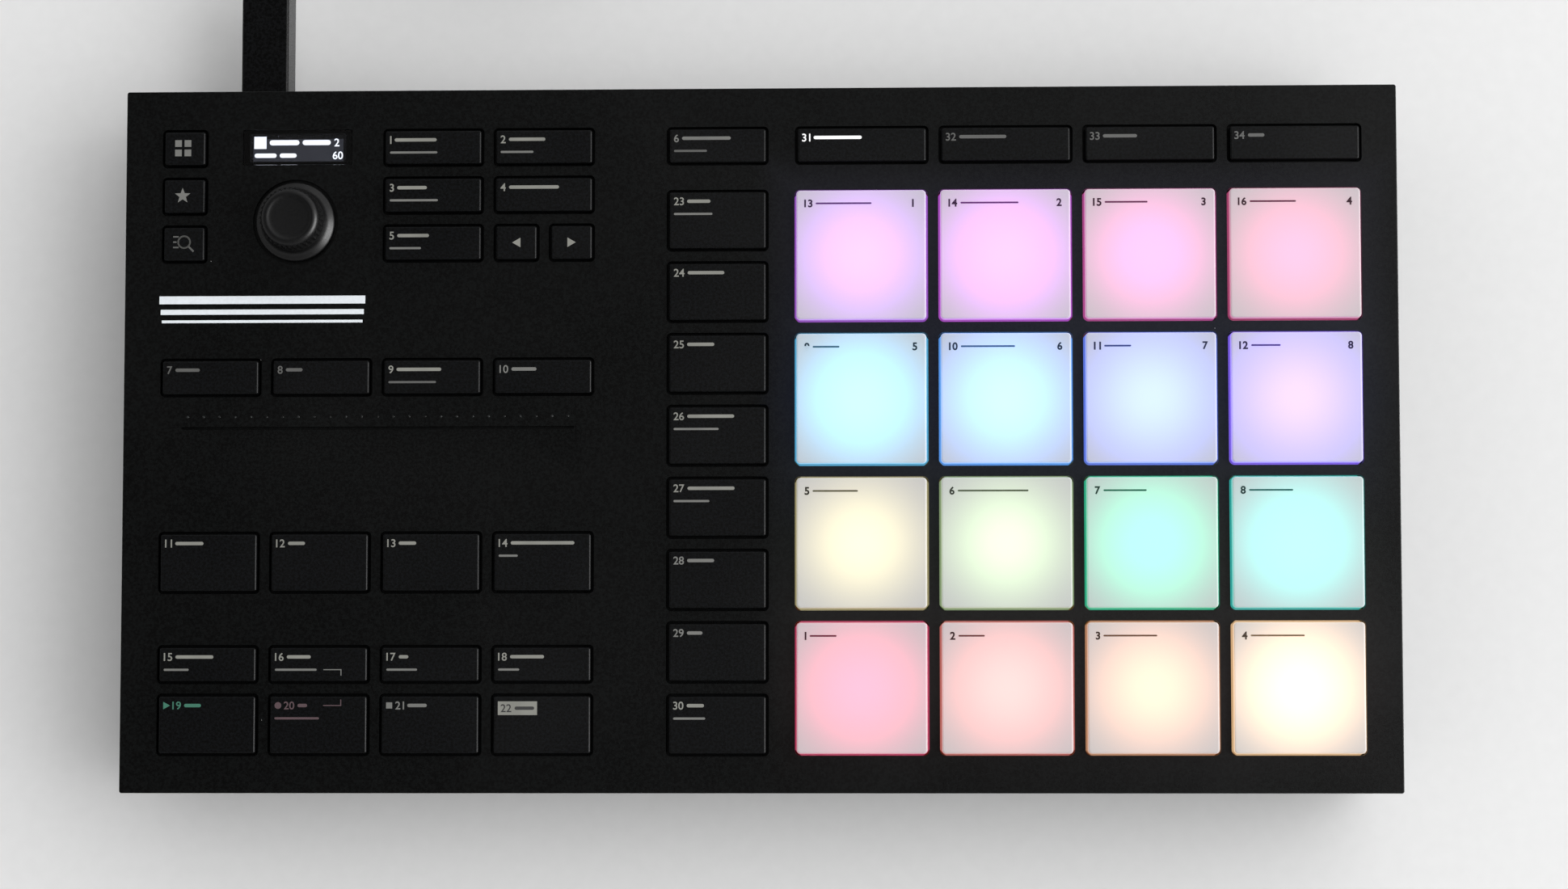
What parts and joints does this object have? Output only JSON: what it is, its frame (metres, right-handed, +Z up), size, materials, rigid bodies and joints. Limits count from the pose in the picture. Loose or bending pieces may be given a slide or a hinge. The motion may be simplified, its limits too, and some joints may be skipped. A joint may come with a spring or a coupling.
{
  "type": "midi pad controller",
  "caption": "Flat desktop music pad controller: square lit pads in a grid, rows of backlit keys, a push encoder knob, small display, touch strip, USB lead.",
  "frame": {"origin": "on the table, under the middle of the front panel (the cord and its plugs aside)", "axes": "+X to the player's right along the panel's long side, +Y away from the player, +Z up"},
  "size_m": [0.32, 0.2908, 0.045],
  "materials": {
    "case_plastic": "fine-textured black ABS, matte",
    "foot_rubber": "soft black rubber",
    "screw_steel": "zinc-plated steel",
    "circuit_board": "green solder mask",
    "sensor_film": "amber film with printed tracks",
    "display_glass": "dark display glass",
    "window_glass": "smoked clear window",
    "encoder_housing": "stamped steel can",
    "encoder_plastic": "natural nylon",
    "shaft_steel": "turned steel",
    "knob_plastic": "soft-touch black, satin rim",
    "pad_silicone": "translucent silicone, lit from below",
    "key_plastic": "satin black keycap",
    "plug_plastic": "moulded black PVC",
    "cord_jacket": "smooth black PVC"
  },
  "bodies": {
    "case": {"top_cover": "case_plastic", "bottom_cover": "case_plastic", "rubber_feet": "foot_rubber", "case_screws": "screw_steel", "main_board": "circuit_board", "pad_sensor_sheet": "sensor_film", "display_module": "display_glass", "display_window": "window_glass", "touch_strip": "sensor_film", "encoder_body": "encoder_housing", "usb_plug": "plug_plastic", "usb_cord": "cord_jacket", "usb_cord_coil": "cord_jacket", "computer_plug": "plug_plastic"},
    "encoder_rotor": {"encoder_rotor": "encoder_plastic"},
    "encoder_knob": {"encoder_shaft": "shaft_steel", "encoder_knob": "knob_plastic"},
    "pad_1": {"pad_1": "pad_silicone"},
    "pad_2": {"pad_2": "pad_silicone"},
    "pad_3": {"pad_3": "pad_silicone"},
    "pad_4": {"pad_4": "pad_silicone"},
    "pad_5": {"pad_5": "pad_silicone"},
    "pad_6": {"pad_6": "pad_silicone"},
    "pad_7": {"pad_7": "pad_silicone"},
    "pad_8": {"pad_8": "pad_silicone"},
    "pad_9": {"pad_9": "pad_silicone"},
    "pad_10": {"pad_10": "pad_silicone"},
    "pad_11": {"pad_11": "pad_silicone"},
    "pad_12": {"pad_12": "pad_silicone"},
    "pad_13": {"pad_13": "pad_silicone"},
    "pad_14": {"pad_14": "pad_silicone"},
    "pad_15": {"pad_15": "pad_silicone"},
    "pad_16": {"pad_16": "pad_silicone"},
    "icon_keys": {"icon_keys": "key_plastic"},
    "display_keys": {"display_keys": "key_plastic"},
    "page_left_key": {"page_left_key": "key_plastic"},
    "page_right_key": {"page_right_key": "key_plastic"},
    "strip_mode_keys": {"strip_mode_keys": "key_plastic"},
    "edit_keys": {"edit_keys": "key_plastic"},
    "fixed_velocity_key": {"fixed_velocity_key": "key_plastic"},
    "group_key": {"group_key": "key_plastic"},
    "auto_key": {"auto_key": "key_plastic"},
    "lock_key": {"lock_key": "key_plastic"},
    "note_repeat_key": {"note_repeat_key": "key_plastic"},
    "play_key": {"play_key": "key_plastic"},
    "record_key": {"record_key": "key_plastic"},
    "stop_key": {"stop_key": "key_plastic"},
    "shift_key": {"shift_key": "key_plastic"},
    "scene_key": {"scene_key": "key_plastic"},
    "pattern_key": {"pattern_key": "key_plastic"},
    "events_key": {"events_key": "key_plastic"},
    "variation_key": {"variation_key": "key_plastic"},
    "duplicate_key": {"duplicate_key": "key_plastic"},
    "select_key": {"select_key": "key_plastic"},
    "solo_key": {"solo_key": "key_plastic"},
    "mute_key": {"mute_key": "key_plastic"},
    "pad_mode_key": {"pad_mode_key": "key_plastic"},
    "keyboard_key": {"keyboard_key": "key_plastic"},
    "chords_key": {"chords_key": "key_plastic"},
    "step_key": {"step_key": "key_plastic"}
  },
  "joints": [
    {"name": "pad_1_press", "type": "slide", "parent": "case", "child": "pad_1", "axis": [0, 0, -1], "range_m": [0, 0.0005], "stiffness_N_per_m": 3000, "springref_m": -0.0003},
    {"name": "pad_2_press", "type": "slide", "parent": "case", "child": "pad_2", "axis": [0, 0, -1], "range_m": [0, 0.0005], "stiffness_N_per_m": 3000, "springref_m": -0.0003},
    {"name": "pad_3_press", "type": "slide", "parent": "case", "child": "pad_3", "axis": [0, 0, -1], "range_m": [0, 0.0005], "stiffness_N_per_m": 3000, "springref_m": -0.0003},
    {"name": "pad_4_press", "type": "slide", "parent": "case", "child": "pad_4", "axis": [0, 0, -1], "range_m": [0, 0.0005], "stiffness_N_per_m": 3000, "springref_m": -0.0003},
    {"name": "pad_5_press", "type": "slide", "parent": "case", "child": "pad_5", "axis": [0, 0, -1], "range_m": [0, 0.0005], "stiffness_N_per_m": 3000, "springref_m": -0.0003},
    {"name": "pad_6_press", "type": "slide", "parent": "case", "child": "pad_6", "axis": [0, 0, -1], "range_m": [0, 0.0005], "stiffness_N_per_m": 3000, "springref_m": -0.0003},
    {"name": "pad_7_press", "type": "slide", "parent": "case", "child": "pad_7", "axis": [0, 0, -1], "range_m": [0, 0.0005], "stiffness_N_per_m": 3000, "springref_m": -0.0003},
    {"name": "pad_8_press", "type": "slide", "parent": "case", "child": "pad_8", "axis": [0, 0, -1], "range_m": [0, 0.0005], "stiffness_N_per_m": 3000, "springref_m": -0.0003},
    {"name": "pad_9_press", "type": "slide", "parent": "case", "child": "pad_9", "axis": [0, 0, -1], "range_m": [0, 0.0005], "stiffness_N_per_m": 3000, "springref_m": -0.0003},
    {"name": "pad_10_press", "type": "slide", "parent": "case", "child": "pad_10", "axis": [0, 0, -1], "range_m": [0, 0.0005], "stiffness_N_per_m": 3000, "springref_m": -0.0003},
    {"name": "pad_11_press", "type": "slide", "parent": "case", "child": "pad_11", "axis": [0, 0, -1], "range_m": [0, 0.0005], "stiffness_N_per_m": 3000, "springref_m": -0.0003},
    {"name": "pad_12_press", "type": "slide", "parent": "case", "child": "pad_12", "axis": [0, 0, -1], "range_m": [0, 0.0005], "stiffness_N_per_m": 3000, "springref_m": -0.0003},
    {"name": "pad_13_press", "type": "slide", "parent": "case", "child": "pad_13", "axis": [0, 0, -1], "range_m": [0, 0.0005], "stiffness_N_per_m": 3000, "springref_m": -0.0003},
    {"name": "pad_14_press", "type": "slide", "parent": "case", "child": "pad_14", "axis": [0, 0, -1], "range_m": [0, 0.0005], "stiffness_N_per_m": 3000, "springref_m": -0.0003},
    {"name": "pad_15_press", "type": "slide", "parent": "case", "child": "pad_15", "axis": [0, 0, -1], "range_m": [0, 0.0005], "stiffness_N_per_m": 3000, "springref_m": -0.0003},
    {"name": "pad_16_press", "type": "slide", "parent": "case", "child": "pad_16", "axis": [0, 0, -1], "range_m": [0, 0.0005], "stiffness_N_per_m": 3000, "springref_m": -0.0003},
    {"name": "icon_keys_press", "type": "slide", "parent": "case", "child": "icon_keys", "axis": [0, 0, -1], "range_m": [0, 0.0008], "stiffness_N_per_m": 400, "springref_m": -0.002},
    {"name": "display_keys_press", "type": "slide", "parent": "case", "child": "display_keys", "axis": [0, 0, -1], "range_m": [0, 0.0008], "stiffness_N_per_m": 400, "springref_m": -0.002},
    {"name": "page_left_key_press", "type": "slide", "parent": "case", "child": "page_left_key", "axis": [0, 0, -1], "range_m": [0, 0.0008], "stiffness_N_per_m": 400, "springref_m": -0.002},
    {"name": "page_right_key_press", "type": "slide", "parent": "case", "child": "page_right_key", "axis": [0, 0, -1], "range_m": [0, 0.0008], "stiffness_N_per_m": 400, "springref_m": -0.002},
    {"name": "strip_mode_keys_press", "type": "slide", "parent": "case", "child": "strip_mode_keys", "axis": [0, 0, -1], "range_m": [0, 0.0008], "stiffness_N_per_m": 400, "springref_m": -0.002},
    {"name": "edit_keys_press", "type": "slide", "parent": "case", "child": "edit_keys", "axis": [0, 0, -1], "range_m": [0, 0.0008], "stiffness_N_per_m": 400, "springref_m": -0.002},
    {"name": "fixed_velocity_key_press", "type": "slide", "parent": "case", "child": "fixed_velocity_key", "axis": [0, 0, -1], "range_m": [0, 0.0008], "stiffness_N_per_m": 400, "springref_m": -0.002},
    {"name": "group_key_press", "type": "slide", "parent": "case", "child": "group_key", "axis": [0, 0, -1], "range_m": [0, 0.0008], "stiffness_N_per_m": 400, "springref_m": -0.002},
    {"name": "auto_key_press", "type": "slide", "parent": "case", "child": "auto_key", "axis": [0, 0, -1], "range_m": [0, 0.0008], "stiffness_N_per_m": 400, "springref_m": -0.002},
    {"name": "lock_key_press", "type": "slide", "parent": "case", "child": "lock_key", "axis": [0, 0, -1], "range_m": [0, 0.0008], "stiffness_N_per_m": 400, "springref_m": -0.002},
    {"name": "note_repeat_key_press", "type": "slide", "parent": "case", "child": "note_repeat_key", "axis": [0, 0, -1], "range_m": [0, 0.0008], "stiffness_N_per_m": 400, "springref_m": -0.002},
    {"name": "play_key_press", "type": "slide", "parent": "case", "child": "play_key", "axis": [0, 0, -1], "range_m": [0, 0.0008], "stiffness_N_per_m": 400, "springref_m": -0.002},
    {"name": "record_key_press", "type": "slide", "parent": "case", "child": "record_key", "axis": [0, 0, -1], "range_m": [0, 0.0008], "stiffness_N_per_m": 400, "springref_m": -0.002},
    {"name": "stop_key_press", "type": "slide", "parent": "case", "child": "stop_key", "axis": [0, 0, -1], "range_m": [0, 0.0008], "stiffness_N_per_m": 400, "springref_m": -0.002},
    {"name": "shift_key_press", "type": "slide", "parent": "case", "child": "shift_key", "axis": [0, 0, -1], "range_m": [0, 0.0008], "stiffness_N_per_m": 400, "springref_m": -0.002},
    {"name": "scene_key_press", "type": "slide", "parent": "case", "child": "scene_key", "axis": [0, 0, -1], "range_m": [0, 0.0008], "stiffness_N_per_m": 400, "springref_m": -0.002},
    {"name": "pattern_key_press", "type": "slide", "parent": "case", "child": "pattern_key", "axis": [0, 0, -1], "range_m": [0, 0.0008], "stiffness_N_per_m": 400, "springref_m": -0.002},
    {"name": "events_key_press", "type": "slide", "parent": "case", "child": "events_key", "axis": [0, 0, -1], "range_m": [0, 0.0008], "stiffness_N_per_m": 400, "springref_m": -0.002},
    {"name": "variation_key_press", "type": "slide", "parent": "case", "child": "variation_key", "axis": [0, 0, -1], "range_m": [0, 0.0008], "stiffness_N_per_m": 400, "springref_m": -0.002},
    {"name": "duplicate_key_press", "type": "slide", "parent": "case", "child": "duplicate_key", "axis": [0, 0, -1], "range_m": [0, 0.0008], "stiffness_N_per_m": 400, "springref_m": -0.002},
    {"name": "select_key_press", "type": "slide", "parent": "case", "child": "select_key", "axis": [0, 0, -1], "range_m": [0, 0.0008], "stiffness_N_per_m": 400, "springref_m": -0.002},
    {"name": "solo_key_press", "type": "slide", "parent": "case", "child": "solo_key", "axis": [0, 0, -1], "range_m": [0, 0.0008], "stiffness_N_per_m": 400, "springref_m": -0.002},
    {"name": "mute_key_press", "type": "slide", "parent": "case", "child": "mute_key", "axis": [0, 0, -1], "range_m": [0, 0.0008], "stiffness_N_per_m": 400, "springref_m": -0.002},
    {"name": "pad_mode_key_press", "type": "slide", "parent": "case", "child": "pad_mode_key", "axis": [0, 0, -1], "range_m": [0, 0.0008], "stiffness_N_per_m": 400, "springref_m": -0.002},
    {"name": "keyboard_key_press", "type": "slide", "parent": "case", "child": "keyboard_key", "axis": [0, 0, -1], "range_m": [0, 0.0008], "stiffness_N_per_m": 400, "springref_m": -0.002},
    {"name": "chords_key_press", "type": "slide", "parent": "case", "child": "chords_key", "axis": [0, 0, -1], "range_m": [0, 0.0008], "stiffness_N_per_m": 400, "springref_m": -0.002},
    {"name": "step_key_press", "type": "slide", "parent": "case", "child": "step_key", "axis": [0, 0, -1], "range_m": [0, 0.0008], "stiffness_N_per_m": 400, "springref_m": -0.002},
    {"name": "encoder_turn", "type": "hinge", "parent": "case", "child": "encoder_rotor", "pos_m": [-0.11683, 0.05514, 0.0283], "axis": [0, 0, 1], "continuous": true},
    {"name": "encoder_push", "type": "slide", "parent": "encoder_rotor", "child": "encoder_knob", "axis": [0, 0, -1], "range_m": [0, 0.0005], "stiffness_N_per_m": 600, "springref_m": -0.002}
  ]
}
